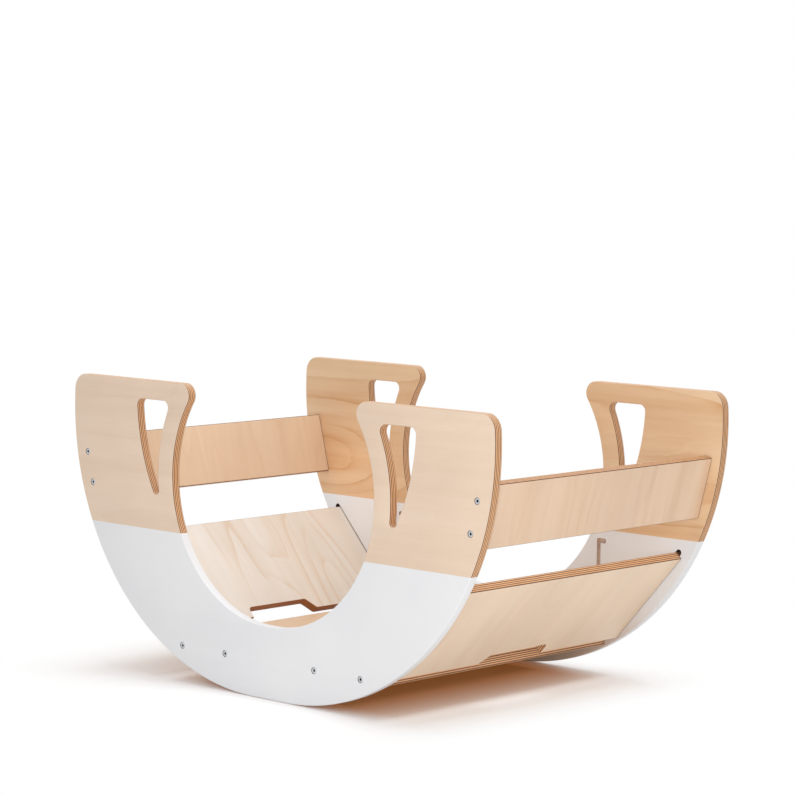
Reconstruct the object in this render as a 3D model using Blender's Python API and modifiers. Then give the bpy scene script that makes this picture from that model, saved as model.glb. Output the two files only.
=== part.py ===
"""Child's rocker board of birch plywood. Metres, +Z up, standing on its curved rims.

X runs along the rocking direction and Y across it. The origin is on the floor, under the middle.
Two C-shaped side panels carry everything: two rails and a flat board are screwed between them,
and two sloping boards lie loose in grooves cut in the panels' inner faces.
"""

import math

import bmesh
import bpy
from mathutils import Matrix, Vector

# Stock and fits
PLY = 0.015
CLEAR_WIDTH = 0.513
FIT = 0.0003
EDGE_ROUND = 0.0015
BOARD_ROUND = 0.002

# Side panel: outer rim, leg tops and the opening between the legs
HEIGHT = 0.473
RIM_RADIUS = 0.422
RIM_FLAT = 0.072
OPENING_RADIUS = 0.2135
OPENING_FLAT = 0.014
OPENING_CENTRE_HEIGHT = 0.3265
CORNER_RADIUS = 0.025
NOSE_RADIUS = 0.019
PAINT_HEIGHT = 0.236

# Hand hole in each leg, a curved triangle with its point down
HOLE_TOP_BAR = 0.0305
HOLE_HEIGHT = 0.150
HOLE_WEB = 0.034
HOLE_TOP_WIDTH = 0.0785
HOLE_SIDE_RADIUS = 0.325
HOLE_CORNER_RADIUS = 0.011
HOLE_TIP_RADIUS = 0.0065

# Rails between the legs, lying along the rim
RAIL_WIDTH = 0.100
RAIL_INSET = 0.0193
RAIL_ANGLE = math.radians(14.5)
RAIL_SCREW_SPACING = 0.050

# Flat board across the bottom, of thicker sheet than the rest
FLAT_THICKNESS = 0.018
FLAT_CENTRE_HEIGHT = 0.0585
FLAT_SCREW_SPACING = 0.098
RIM_CLEARANCE = 0.0025

# Sloping boards: tongues on their ends lie in stopped grooves
SLOPE_LENGTH = 0.1918
SLOPE_ANGLE = math.radians(48)
SLOPE_SAGITTA = 0.0202
TONGUE_THICKNESS = 0.009
TONGUE_LENGTH = 0.0065
GROOVE_WIDTH = 0.010
GROOVE_DEPTH = 0.007
GROOVE_SPARE = 0.003

# Notch in the lower edge of each sloping board: one end is square, the other slants
NOTCH_DEPTH = 0.0195
NOTCH_SQUARE_SIDE = 0.070
NOTCH_SLANT_SIDE = 0.058
NOTCH_SLANT_RUN = 0.0165
NOTCH_ROUND = 0.006

# Bayonet slots in the panels' inner faces, below the paint line
SLOT_WIDTH = 0.008
SLOT_DEPTH = 0.006
SLOT_STEP = 0.0115
SLOT_WALL = 0.0165
SLOT_BELOW_PAINT = 0.0145
SLOT_ABOVE_BOARD = 0.004

# Countersunk connector screws with hex sockets
SCREW_LENGTH = 0.050
HEAD_DIAMETER = 0.010
HEAD_RIM = 0.0008
HEAD_HEIGHT = 0.003
HEAD_SINK = 0.0003
COLLAR_DIAMETER = 0.007
COLLAR_PAST_JOINT = 0.002
CORE_DIAMETER = 0.0056
TIP_LENGTH = 0.004
SOCKET_ACROSS_FLATS = 0.004
SOCKET_DEPTH = 0.0025
SCREW_SIDES = 16

# Fineness of the curves
RIM_STEP = math.radians(4)
CORNER_STEP = math.radians(15)

# Derived sizes
PANEL_OFFSET = (CLEAR_WIDTH + PLY) / 2
RIM_CENTRE = Vector((RIM_FLAT / 2, RIM_RADIUS))
OPENING_CENTRE = Vector((OPENING_FLAT / 2, OPENING_CENTRE_HEIGHT))
COLLAR_END = PLY - HEAD_SINK + COLLAR_PAST_JOINT


def clear_scene():
    for obj in list(bpy.data.objects):
        bpy.data.objects.remove(obj, do_unlink=True)


def new_collection(name):
    collection = bpy.data.collections.new(name)
    bpy.context.scene.collection.children.link(collection)
    return collection


def plain_material(name, colour, roughness, metallic=0.0):
    material = bpy.data.materials.new(name)
    material.use_nodes = True
    shader = material.node_tree.nodes["Principled BSDF"]
    shader.inputs["Base Color"].default_value = (*colour, 1)
    shader.inputs["Roughness"].default_value = roughness
    shader.inputs["Metallic"].default_value = metallic
    material.diffuse_color = (*colour, 1)
    return material


def half_painted_material(name, wood, paint, roughness):
    """Birch above the paint line and white paint below it."""
    material = plain_material(name, paint, roughness)
    nodes = material.node_tree.nodes
    links = material.node_tree.links
    place = nodes.new("ShaderNodeNewGeometry")
    split = nodes.new("ShaderNodeSeparateXYZ")
    above = nodes.new("ShaderNodeMath")
    above.operation = "GREATER_THAN"
    above.inputs[1].default_value = PAINT_HEIGHT
    mix = nodes.new("ShaderNodeMix")
    mix.data_type = "RGBA"
    mix.inputs["A"].default_value = (*paint, 1)
    mix.inputs["B"].default_value = (*wood, 1)
    links.new(place.outputs["Position"], split.inputs["Vector"])
    links.new(split.outputs["Z"], above.inputs[0])
    links.new(above.outputs["Value"], mix.inputs["Factor"])
    links.new(mix.outputs["Result"], nodes["Principled BSDF"].inputs["Base Color"])
    return material


def arc(centre, radius, start, end, step=CORNER_STEP):
    """Points along an arc, both ends included; angles in radians from +X."""
    count = max(2, math.ceil(abs(end - start) / step))
    angles = [start + (end - start) * index / count for index in range(count + 1)]
    return [centre + radius * Vector((math.cos(angle), math.sin(angle))) for angle in angles]


def at_height(centre, radius, height):
    """The point at this height on the right side of a circle."""
    rise = height - centre.y
    return Vector((centre.x + math.sqrt(radius**2 - rise**2), height))


def crossing(first, first_radius, second, second_radius):
    """Where two circles cross, taking the point on the left of the way from first to second."""
    way = second - first
    along = (first_radius**2 - second_radius**2 + way.length_squared) / (2 * way.length)
    aside = math.sqrt(first_radius**2 - along**2)
    forward = way.normalized()
    return first + along * forward + aside * Vector((-forward.y, forward.x))


def angle_of(centre, point):
    return math.atan2(point.y - centre.y, point.x - centre.x)


def mirrored(points):
    """The same points on the left side, in the opposite order."""
    return [Vector((-point.x, point.y)) for point in reversed(points)]


def panel_outline():
    """One closed loop: the rim, both leg tops with their noses, and the opening."""
    corner = at_height(RIM_CENTRE, RIM_RADIUS - CORNER_RADIUS, HEIGHT - CORNER_RADIUS)
    nose = at_height(OPENING_CENTRE, OPENING_RADIUS + NOSE_RADIUS, HEIGHT - NOSE_RADIUS)
    rim_end = angle_of(RIM_CENTRE, corner)
    opening_end = angle_of(OPENING_CENTRE, nose)
    floor = -math.pi / 2
    right = arc(RIM_CENTRE, RIM_RADIUS, floor, rim_end, RIM_STEP)
    right += arc(corner, CORNER_RADIUS, rim_end, math.pi / 2)[1:]
    right += arc(nose, NOSE_RADIUS, math.pi / 2, opening_end + math.pi)
    right += arc(OPENING_CENTRE, OPENING_RADIUS, opening_end, floor, RIM_STEP * 1.5)[1:]
    return right + mirrored(right)


def hand_hole_outline():
    """The hole in the right leg: its inner side keeps the web's width beside the opening."""
    top = HEIGHT - HOLE_TOP_BAR
    web_radius = OPENING_RADIUS + HOLE_WEB
    tip = at_height(OPENING_CENTRE, web_radius + HOLE_TIP_RADIUS, top - HOLE_HEIGHT + HOLE_TIP_RADIUS)
    top_outer = at_height(OPENING_CENTRE, web_radius, top) + Vector((HOLE_TOP_WIDTH, 0))
    side = crossing(tip, HOLE_SIDE_RADIUS - HOLE_TIP_RADIUS, top_outer, HOLE_SIDE_RADIUS)
    inner = at_height(OPENING_CENTRE, web_radius + HOLE_CORNER_RADIUS, top - HOLE_CORNER_RADIUS)
    outer = at_height(side, HOLE_SIDE_RADIUS - HOLE_CORNER_RADIUS, top - HOLE_CORNER_RADIUS)
    inner_top = angle_of(OPENING_CENTRE, inner)
    inner_tip = angle_of(OPENING_CENTRE, tip)
    outer_top = angle_of(side, outer)
    outer_tip = angle_of(side, tip)
    points = arc(inner, HOLE_CORNER_RADIUS, inner_top + math.pi, math.pi / 2, CORNER_STEP * 2)
    points += arc(outer, HOLE_CORNER_RADIUS, math.pi / 2, outer_top, CORNER_STEP * 2)
    points += arc(side, HOLE_SIDE_RADIUS, outer_top, outer_tip, RIM_STEP * 1.5)[1:-1]
    points += arc(tip, HOLE_TIP_RADIUS, outer_tip, inner_tip - math.pi, CORNER_STEP * 2)
    points += arc(OPENING_CENTRE, web_radius, inner_tip, inner_top, RIM_STEP * 1.5)[1:-1]
    return points


def rounded_slot_outline(start, end, width):
    """A straight slot with round ends, as a cutter of this width leaves it."""
    heading = angle_of(start, end)
    quarter = math.pi / 2
    points = arc(start, width / 2, heading + quarter, heading + 3 * quarter, CORNER_STEP * 2)
    points += arc(end, width / 2, heading - quarter, heading + quarter, CORNER_STEP * 2)
    return points


def bayonet_slot_outline():
    """On the right side: a run straight up, then a short step outwards."""
    half = SLOT_WIDTH / 2
    top = PAINT_HEIGHT - SLOT_BELOW_PAINT - half
    bend = at_height(OPENING_CENTRE, OPENING_RADIUS + SLOT_WALL + half, top)
    hook = bend + Vector((SLOT_STEP, 0))
    board_top = FLAT_CENTRE_HEIGHT + FLAT_THICKNESS / 2
    foot = Vector((bend.x, board_top + SLOT_ABOVE_BOARD + half))
    quarter = math.pi / 2
    points = arc(foot, half, -2 * quarter, 0, CORNER_STEP * 2)
    points += [bend + Vector((half, -half))]
    points += arc(hook, half, -quarter, quarter, CORNER_STEP * 2)
    points += arc(bend, half, quarter, 2 * quarter, CORNER_STEP * 2)
    return points


def rounded_corner(before, corner, after, radius):
    """Points that round a corner between two straight edges."""
    back = (before - corner).normalized()
    ahead = (after - corner).normalized()
    half_angle = back.angle(ahead) / 2
    centre = corner + (back + ahead).normalized() * radius / math.sin(half_angle)
    reach = radius / math.tan(half_angle)
    start = angle_of(centre, corner + back * reach)
    turn = (angle_of(centre, corner + ahead * reach) - start + math.pi) % (2 * math.pi) - math.pi
    return arc(centre, radius, start, start + turn, CORNER_STEP * 2)


def slope_board_outline():
    """Local X runs up the slope from the lower edge, local Y along the board."""
    end = CLEAR_WIDTH / 2 + TONGUE_LENGTH
    corners = [
        (Vector((0, -end)), 0),
        (Vector((SLOPE_LENGTH, -end)), 0),
        (Vector((SLOPE_LENGTH, end)), 0),
        (Vector((0, end)), 0),
        (Vector((0, NOTCH_SQUARE_SIDE)), BOARD_ROUND),
        (Vector((NOTCH_DEPTH, NOTCH_SQUARE_SIDE)), NOTCH_ROUND),
        (Vector((NOTCH_DEPTH, -NOTCH_SLANT_SIDE)), NOTCH_ROUND),
        (Vector((0, -NOTCH_SLANT_SIDE - NOTCH_SLANT_RUN)), NOTCH_ROUND),
    ]
    points = []
    for index, (corner, radius) in enumerate(corners):
        if radius:
            before = corners[index - 1][0]
            after = corners[(index + 1) % len(corners)][0]
            points += rounded_corner(before, corner, after, radius)
        else:
            points.append(corner)
    return points


def new_object(name, mesh, collection, placement, material=None):
    obj = bpy.data.objects.new(name, mesh)
    obj.matrix_world = placement
    collection.objects.link(obj)
    if material:
        mesh.materials.append(material)
    return obj


def plate(name, loops, thickness, rounding, collection, placement, material=None):
    """A flat sheet cut to closed loops, the first outside and the rest holes."""
    outline = bpy.data.curves.new(name, "CURVE")
    outline.dimensions = "2D"
    outline.fill_mode = "BOTH"
    outline.extrude = thickness / 2 - rounding
    outline.bevel_depth = rounding
    outline.bevel_resolution = 1
    outline.offset = -rounding
    for loop in loops:
        spline = outline.splines.new("POLY")
        spline.points.add(len(loop) - 1)
        for point, place in zip(spline.points, loop):
            point.co = (place.x, place.y, 0, 1)
        spline.use_cyclic_u = True
    guide = new_object(name + "_outline", outline, collection, placement)
    graph = bpy.context.evaluated_depsgraph_get()
    mesh = bpy.data.meshes.new_from_object(guide.evaluated_get(graph))
    mesh.name = name
    weld(mesh)
    solid = new_object(name, mesh, collection, guide.matrix_world.copy(), material)
    bpy.data.objects.remove(guide)
    bpy.data.curves.remove(outline)
    return solid


def weld(mesh):
    """Joins a mesh's loose caps to its sides and turns its faces outwards."""
    work = bmesh.new()
    work.from_mesh(mesh)
    bmesh.ops.remove_doubles(work, verts=work.verts, dist=0.00001)
    bmesh.ops.recalc_face_normals(work, faces=work.faces)
    work.to_mesh(mesh)
    work.free()


def box_mesh(name, size):
    mesh = bpy.data.meshes.new(name)
    work = bmesh.new()
    bmesh.ops.create_cube(work, size=1, matrix=Matrix.Diagonal((*size, 1)))
    work.to_mesh(mesh)
    work.free()
    return mesh


def straight_board(name, size, collection, placement, material):
    """A board with its four long edges eased and its butt ends square."""
    mesh = box_mesh(name, size)
    weights = mesh.attributes.new("bevel_weight_edge", "FLOAT", "EDGE")
    for edge in mesh.edges:
        first, last = (mesh.vertices[index].co for index in edge.vertices)
        weights.data[edge.index].value = 1.0 if abs(last.y - first.y) > size[1] / 2 else 0.0
    board = new_object(name, mesh, collection, placement, material)
    easing = board.modifiers.new("eased edges", "BEVEL")
    easing.limit_method = "WEIGHT"
    easing.width = BOARD_ROUND
    easing.segments = 2
    return board


def turned_mesh(name, profile):
    """Turns a profile of (radius, height), given from top to bottom, round the Z axis."""
    mesh = bpy.data.meshes.new(name + "_profile")
    edges = [(index, index + 1) for index in range(len(profile) - 1)]
    mesh.from_pydata([(radius, 0, height) for radius, height in profile], edges, [])
    blank = new_object(name, mesh, bpy.context.scene.collection, Matrix.Identity(4))
    turning = blank.modifiers.new("turning", "SCREW")
    turning.steps = SCREW_SIDES
    turning.render_steps = SCREW_SIDES
    turning.use_merge_vertices = True
    turning.merge_threshold = 0.00001
    return blank


def applied_mesh(obj, name):
    """The object's mesh with its modifiers applied; the object itself is removed."""
    graph = bpy.context.evaluated_depsgraph_get()
    mesh = bpy.data.meshes.new_from_object(obj.evaluated_get(graph))
    mesh.name = name
    bpy.data.objects.remove(obj)
    weld(mesh)
    return mesh


def screw_profile(gap=0.0):
    """From the head's face down to the point; a gap widens it all round, for its hole."""
    head = HEAD_DIAMETER / 2 + gap
    collar = COLLAR_DIAMETER / 2 + gap
    core = CORE_DIAMETER / 2 + gap
    face = HEAD_SINK + gap if gap else 0.0
    return [
        (0, face),
        (head, face),
        (head, -HEAD_RIM),
        (collar, -HEAD_HEIGHT),
        (collar, -COLLAR_END),
        (core, -COLLAR_END - (COLLAR_DIAMETER - CORE_DIAMETER) / 2),
        (core, TIP_LENGTH - SCREW_LENGTH - gap),
        (0, -SCREW_LENGTH - gap),
    ]


def make_screw_mesh(collection, material):
    blank = turned_mesh("screw_blank", screw_profile())
    socket = bpy.data.meshes.new("socket_cutter")
    work = bmesh.new()
    bmesh.ops.create_cone(
        work,
        cap_ends=True,
        segments=6,
        radius1=SOCKET_ACROSS_FLATS / math.sqrt(3),
        radius2=SOCKET_ACROSS_FLATS / math.sqrt(3),
        depth=SOCKET_DEPTH * 2,
    )
    work.to_mesh(socket)
    work.free()
    cutter = new_object("socket_cutter", socket, collection, Matrix.Identity(4))
    cut(blank, cutter)
    mesh = applied_mesh(blank, "screw")
    mesh.materials.append(material)
    bpy.data.objects.remove(cutter)
    return mesh


def cut(target, cutter):
    cutter.hide_render = True
    cutter.display_type = "WIRE"
    cutting = target.modifiers.new(cutter.name, "BOOLEAN")
    cutting.operation = "DIFFERENCE"
    cutting.solver = "EXACT"
    cutting.object = cutter


def upright(y, turned=False):
    """Stands a sheet drawn in X and Y up in the XZ plane at this Y; turned swaps left and right."""
    turn = Matrix.Rotation(math.pi, 4, "Z") if turned else Matrix.Identity(4)
    return Matrix.Translation((0, y, 0)) @ turn @ Matrix.Rotation(math.pi / 2, 4, "X")


def slope_placement(side):
    """Frame of a sloping board: its origin is in the middle of its lower outer edge."""
    below = RIM_RADIUS - SLOPE_SAGITTA
    along = -math.sqrt((RIM_RADIUS - RIM_CLEARANCE) ** 2 - below**2)
    uphill = Vector((math.cos(SLOPE_ANGLE), math.sin(SLOPE_ANGLE)))
    outward = Vector((math.sin(SLOPE_ANGLE), -math.cos(SLOPE_ANGLE)))
    corner = RIM_CENTRE + outward * below + uphill * along
    turn = Matrix.Rotation(0 if side > 0 else math.pi, 4, "Z")
    lean = Matrix.Rotation(-SLOPE_ANGLE, 4, "Y")
    return turn @ Matrix.Translation((corner.x, 0, corner.y)) @ lean


def rail_centre():
    """Centre of the right rail's section in X and Z, set in from the rim."""
    reach = RIM_RADIUS - RAIL_INSET - PLY / 2
    return RIM_CENTRE + reach * Vector((math.cos(RAIL_ANGLE), -math.sin(RAIL_ANGLE)))


def flat_half_length():
    """The flat board's lower corners stop just inside the rim."""
    drop = RIM_CENTRE.y - (FLAT_CENTRE_HEIGHT - FLAT_THICKNESS / 2)
    return RIM_CENTRE.x + math.sqrt((RIM_RADIUS - RIM_CLEARANCE) ** 2 - drop**2)


def groove_ends():
    """Ends of the right groove's centre line, which is the middle of the resting tongue."""
    frame = slope_placement(1)
    half = TONGUE_THICKNESS / 2
    middle = PLY - half
    seat = math.sqrt((GROOVE_WIDTH / 2 - FIT) ** 2 - half**2)
    lower = frame @ Vector((seat, 0, middle))
    upper = frame @ Vector((SLOPE_LENGTH + GROOVE_SPARE, 0, middle))
    return Vector((lower.x, lower.z)), Vector((upper.x, upper.z))


def inner_face_cutter(name, outline, depth, side, cutters):
    """A pocket of this depth in the inner face of the near (-1) or far (+1) panel."""
    middle = side * (CLEAR_WIDTH / 2 + depth / 2 - PLY / 4)
    return plate(name, [outline], depth + PLY / 2, 0, cutters, upright(middle))


def make_panel(name, side, parts, cutters, material):
    hole = hand_hole_outline()
    loops = [panel_outline(), hole, mirrored(hole)]
    placement = upright(side * PANEL_OFFSET)
    panel = plate(name, loops, PLY, EDGE_ROUND, parts, placement, material)
    groove = rounded_slot_outline(*groove_ends(), GROOVE_WIDTH)
    bayonet = bayonet_slot_outline()
    for hand, mirror in (("right", False), ("left", True)):
        shape = mirrored(groove) if mirror else groove
        cut(panel, inner_face_cutter(f"{name}_{hand}_groove", shape, GROOVE_DEPTH, side, cutters))
        shape = mirrored(bayonet) if mirror else bayonet
        cut(panel, inner_face_cutter(f"{name}_{hand}_slot", shape, SLOT_DEPTH, side, cutters))
    return panel


def make_slope_board(name, side, parts, cutters, material):
    """A sheet with tongues flush with its upper face; it slides along local X."""
    frame = slope_placement(side)
    raised = frame @ Matrix.Translation((0, 0, PLY / 2))
    board = plate(name, [slope_board_outline()], PLY, BOARD_ROUND, parts, raised, material)
    board.data.transform(Matrix.Translation((0, 0, PLY / 2)))
    board.matrix_world = frame
    step = PLY - TONGUE_THICKNESS
    reach = TONGUE_LENGTH + PLY
    for end in (-1, 1):
        shoulder = end * (CLEAR_WIDTH / 2 - FIT + reach / 2)
        mesh = box_mesh(f"{name}_rebate", (SLOPE_LENGTH + 2 * PLY, reach, 2 * step))
        place = frame @ Matrix.Translation((SLOPE_LENGTH / 2, shoulder, 0))
        cut(board, new_object(mesh.name, mesh, cutters, place))
    return board


def make_rail(name, side, parts, material):
    centre = rail_centre()
    size = (PLY, CLEAR_WIDTH - 2 * FIT, RAIL_WIDTH)
    place = Matrix.Translation((side * centre.x, 0, centre.y))
    lean = Matrix.Rotation(side * RAIL_ANGLE, 4, "Y")
    return straight_board(name, size, parts, place @ lean, material)


def make_flat_board(name, parts, material):
    size = (2 * flat_half_length(), CLEAR_WIDTH - 2 * FIT, FLAT_THICKNESS)
    place = Matrix.Translation((0, 0, FLAT_CENTRE_HEIGHT))
    return straight_board(name, size, parts, place, material)


def screw_places():
    """(name, x, z, name of the piece it holds) for one panel, from left to right."""
    centre = rail_centre()
    upward = Vector((math.sin(RAIL_ANGLE), math.cos(RAIL_ANGLE))) * RAIL_SCREW_SPACING / 2
    places = []
    for hand, side in (("left", -1), ("right", 1)):
        for level, sign in (("lower", -1), ("upper", 1)):
            spot = centre + sign * upward
            places.append((f"{hand}_rail_{level}", side * spot.x, spot.y, f"rail_{hand}"))
    for number, steps in enumerate((-2, -1, 1, 2), start=1):
        across = steps * FLAT_SCREW_SPACING
        places.append((f"flat_board_{number}", across, FLAT_CENTRE_HEIGHT, "flat_board"))
    return places


def main():
    clear_scene()
    parts = new_collection("rocker_board")
    cutters = new_collection("cutters")
    cutters.hide_render = True

    birch = (0.80, 0.62, 0.44)
    panel_finish = half_painted_material("half_painted_birch", birch, (0.86, 0.86, 0.87), 0.40)
    rail_finish = plain_material("rail_birch", (0.78, 0.58, 0.40), 0.45)
    flat_finish = plain_material("flat_board_birch", (0.80, 0.63, 0.46), 0.45)
    slope_finish = plain_material("slope_board_birch", (0.83, 0.68, 0.51), 0.45)
    zinc = plain_material("zinc_plate", (0.62, 0.63, 0.64), 0.30, 1.0)

    pieces = {}
    for name, side in (("side_panel_near", -1), ("side_panel_far", 1)):
        pieces[name] = make_panel(name, side, parts, cutters, panel_finish)
    for hand, side in (("left", -1), ("right", 1)):
        pieces[f"rail_{hand}"] = make_rail(f"rail_{hand}", side, parts, rail_finish)
        name = f"slope_board_{hand}"
        pieces[name] = make_slope_board(name, side, parts, cutters, slope_finish)
    pieces["flat_board"] = make_flat_board("flat_board", parts, flat_finish)

    screw_mesh = make_screw_mesh(cutters, zinc)
    hole_mesh = applied_mesh(turned_mesh("hole_blank", screw_profile(FIT)), "screw_hole")
    face = PANEL_OFFSET + PLY / 2 - HEAD_SINK
    for panel, side in (("near", -1), ("far", 1)):
        for name, x, z, held in screw_places():
            place = Matrix.Translation((x, side * face, z))
            place = place @ Matrix.Rotation(-side * math.pi / 2, 4, "X")
            new_object(f"screw_{panel}_{name}", screw_mesh, parts, place)
            hole = new_object(f"hole_{panel}_{name}", hole_mesh, cutters, place)
            cut(pieces[f"side_panel_{panel}"], hole)
            cut(pieces[held], hole)

    for piece in parts.objects:
        piece.data.shade_smooth()
        piece.data.set_sharp_from_angle(angle=math.radians(30))


main()
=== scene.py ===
import math
from types import SimpleNamespace

import bmesh
import bpy
from mathutils import Matrix, Vector


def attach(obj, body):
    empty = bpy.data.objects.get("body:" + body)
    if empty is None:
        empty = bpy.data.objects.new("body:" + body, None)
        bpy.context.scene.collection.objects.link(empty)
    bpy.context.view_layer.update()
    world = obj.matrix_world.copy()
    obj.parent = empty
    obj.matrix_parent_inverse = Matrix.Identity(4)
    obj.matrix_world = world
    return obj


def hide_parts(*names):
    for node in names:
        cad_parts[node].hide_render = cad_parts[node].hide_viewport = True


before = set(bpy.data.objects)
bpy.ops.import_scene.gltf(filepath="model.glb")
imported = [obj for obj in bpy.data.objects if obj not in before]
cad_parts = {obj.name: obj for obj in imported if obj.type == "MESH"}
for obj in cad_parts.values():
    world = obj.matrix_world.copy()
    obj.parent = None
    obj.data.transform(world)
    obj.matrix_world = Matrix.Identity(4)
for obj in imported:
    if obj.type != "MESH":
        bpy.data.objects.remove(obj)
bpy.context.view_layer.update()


# Side panels, near and far. Each is one C cut from 15 mm birch plywood on a router, with rounded
# edges and a hand hole in each leg, then sprayed white up to the paint line and lacquered. The
# grooves are routed after painting and show bare plies, made near black with painted shade; the
# bayonet slots have caught some paint, darkened to a pinkish brown with painted shade and warm
# light.

PLY = 0.015
CLEAR_WIDTH = 0.513
FIT = 0.0003
HEIGHT = 0.473
PAINT_LINE = 0.236
EDGE_ROUND = 0.0015
RIM_OFFSET = 0.036
RIM_RADIUS = 0.422
RIM_CENTRE = Vector((RIM_OFFSET, RIM_RADIUS))
OPENING_CENTRE = Vector((0.007, 0.3265))
OPENING_RADIUS = 0.2135
LEG_CORNER = 0.025
LEG_NOSE = 0.019

HOLE_TOP = HEIGHT - 0.0305
HOLE_DEPTH = 0.150
HOLE_WIDTH = 0.0785
HOLE_WEB_RADIUS = OPENING_RADIUS + 0.034
HOLE_SIDE_RADIUS = 0.325
HOLE_CORNER = 0.011
HOLE_TIP = 0.0065

SLOPE = math.radians(48)
UPHILL = Vector((math.cos(SLOPE), math.sin(SLOPE)))
OUTWARD = Vector((math.sin(SLOPE), -math.cos(SLOPE)))
SLOPE_LENGTH = 0.1918
SLOPE_BELOW_CENTRE = RIM_RADIUS - 0.0202
RIM_GAP = 0.0025
TONGUE = 0.009
GROOVE_RADIUS = 0.005
GROOVE_DEPTH = 0.007
GROOVE_PAST_BOARD = 0.003

FLAT_HEIGHT = 0.0585
FLAT_THICKNESS = 0.018
SLOT_RADIUS = 0.004
SLOT_DEPTH = 0.006
SLOT_BELOW_PAINT = 0.0145
SLOT_FROM_OPENING = 0.0165
SLOT_ABOVE_BOARD = 0.004
SLOT_STEP = 0.0115

RAIL_CENTRE = Vector((0.418611, 0.323050))
RAIL_LEAN = math.radians(14.5)
RAIL_SCREWS = 0.025
FLAT_SCREWS = 0.098
HEAD_SUNK = 0.0003
SCREW_HOLE_PROFILE = (
    (0.0053, 0.0006),
    (0.0053, -0.0008),
    (0.0038, -0.0030),
    (0.0038, -0.0167),
    (0.0031, -0.0174),
    (0.0031, -0.0503),
)
SCREW_HOLE_SIDES = 32
CUTTER_PROUD = 0.010
SHARP_EDGE = math.radians(35)

QUARTER = math.pi / 2
RIM_STEP = math.radians(1)
SIDE_STEP = math.radians(1.5)
CORNER_STEP = math.radians(6)
STANDING = Matrix.Rotation(QUARTER, 4, "X")

# The lower outer corner of the right sloping board, just inside the rim.
SLOPE_FOOT = RIM_CENTRE + OUTWARD * SLOPE_BELOW_CENTRE
SLOPE_FOOT -= UPHILL * math.sqrt((RIM_RADIUS - RIM_GAP) ** 2 - SLOPE_BELOW_CENTRE**2)


def arc(centre, radius, start, end, step=CORNER_STEP):
    """Points along an arc, both ends included."""
    count = max(2, math.ceil(abs(end - start) / step))
    angles = [start + (end - start) * index / count for index in range(count + 1)]
    return [centre + radius * Vector((math.cos(angle), math.sin(angle))) for angle in angles]


def at_height(centre, radius, height):
    """The point at this height on the right side of a circle."""
    return Vector((centre.x + math.sqrt(radius**2 - (height - centre.y) ** 2), height))


def angle_of(centre, point):
    """The direction from one point to another, as an angle."""
    return math.atan2(point.y - centre.y, point.x - centre.x)


def mirrored(points):
    """The same loop on the left side, still running the same way round."""
    return [Vector((-point.x, point.y)) for point in reversed(points)]


def panel_outline():
    """The rim, both leg tops with their noses, and the round opening, as one loop."""
    corner = at_height(RIM_CENTRE, RIM_RADIUS - LEG_CORNER, HEIGHT - LEG_CORNER)
    nose = at_height(OPENING_CENTRE, OPENING_RADIUS + LEG_NOSE, HEIGHT - LEG_NOSE)
    rim_end = angle_of(RIM_CENTRE, corner)
    opening_end = angle_of(OPENING_CENTRE, nose)
    right = arc(RIM_CENTRE, RIM_RADIUS, -QUARTER, rim_end, RIM_STEP)
    right += arc(corner, LEG_CORNER, rim_end, QUARTER)[1:]
    right += arc(nose, LEG_NOSE, QUARTER, opening_end + math.pi)
    right += arc(OPENING_CENTRE, OPENING_RADIUS, opening_end, -QUARTER, SIDE_STEP)[1:]
    return right + mirrored(right)


def hand_hole_outline():
    """A curved triangle, point down, in the right leg."""
    tip = at_height(OPENING_CENTRE, HOLE_WEB_RADIUS + HOLE_TIP, HOLE_TOP - HOLE_DEPTH + HOLE_TIP)
    far_top = at_height(OPENING_CENTRE, HOLE_WEB_RADIUS, HOLE_TOP) + Vector((HOLE_WIDTH, 0))
    # The outer side's circle runs through the far top and touches the tip's circle.
    way = far_top - tip
    to_tip = HOLE_SIDE_RADIUS - HOLE_TIP
    along = (to_tip**2 - HOLE_SIDE_RADIUS**2 + way.length_squared) / (2 * way.length)
    aside = math.sqrt(to_tip**2 - along**2)
    forward = way.normalized()
    side = tip + along * forward + aside * Vector((-forward.y, forward.x))
    inner = at_height(OPENING_CENTRE, HOLE_WEB_RADIUS + HOLE_CORNER, HOLE_TOP - HOLE_CORNER)
    outer = at_height(side, HOLE_SIDE_RADIUS - HOLE_CORNER, HOLE_TOP - HOLE_CORNER)
    inner_top, inner_tip = angle_of(OPENING_CENTRE, inner), angle_of(OPENING_CENTRE, tip)
    outer_top, outer_tip = angle_of(side, outer), angle_of(side, tip)
    points = arc(inner, HOLE_CORNER, inner_top + math.pi, QUARTER)
    points += arc(outer, HOLE_CORNER, QUARTER, outer_top)
    points += arc(side, HOLE_SIDE_RADIUS, outer_top, outer_tip, SIDE_STEP)[1:-1]
    points += arc(tip, HOLE_TIP, outer_tip, inner_tip - math.pi)
    points += arc(OPENING_CENTRE, HOLE_WEB_RADIUS, inner_tip, inner_top, SIDE_STEP)[1:-1]
    return points


def groove_outline():
    """The stopped groove that holds a sloping board's tongue, on the right side."""
    middle = SLOPE_FOOT - OUTWARD * (PLY - TONGUE / 2)
    seat = math.sqrt((GROOVE_RADIUS - FIT) ** 2 - (TONGUE / 2) ** 2)
    lower = middle + UPHILL * seat
    upper = middle + UPHILL * (SLOPE_LENGTH + GROOVE_PAST_BOARD)
    heading = angle_of(lower, upper)
    points = arc(lower, GROOVE_RADIUS, heading + QUARTER, heading + 3 * QUARTER)
    return points + arc(upper, GROOVE_RADIUS, heading - QUARTER, heading + QUARTER)


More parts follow.
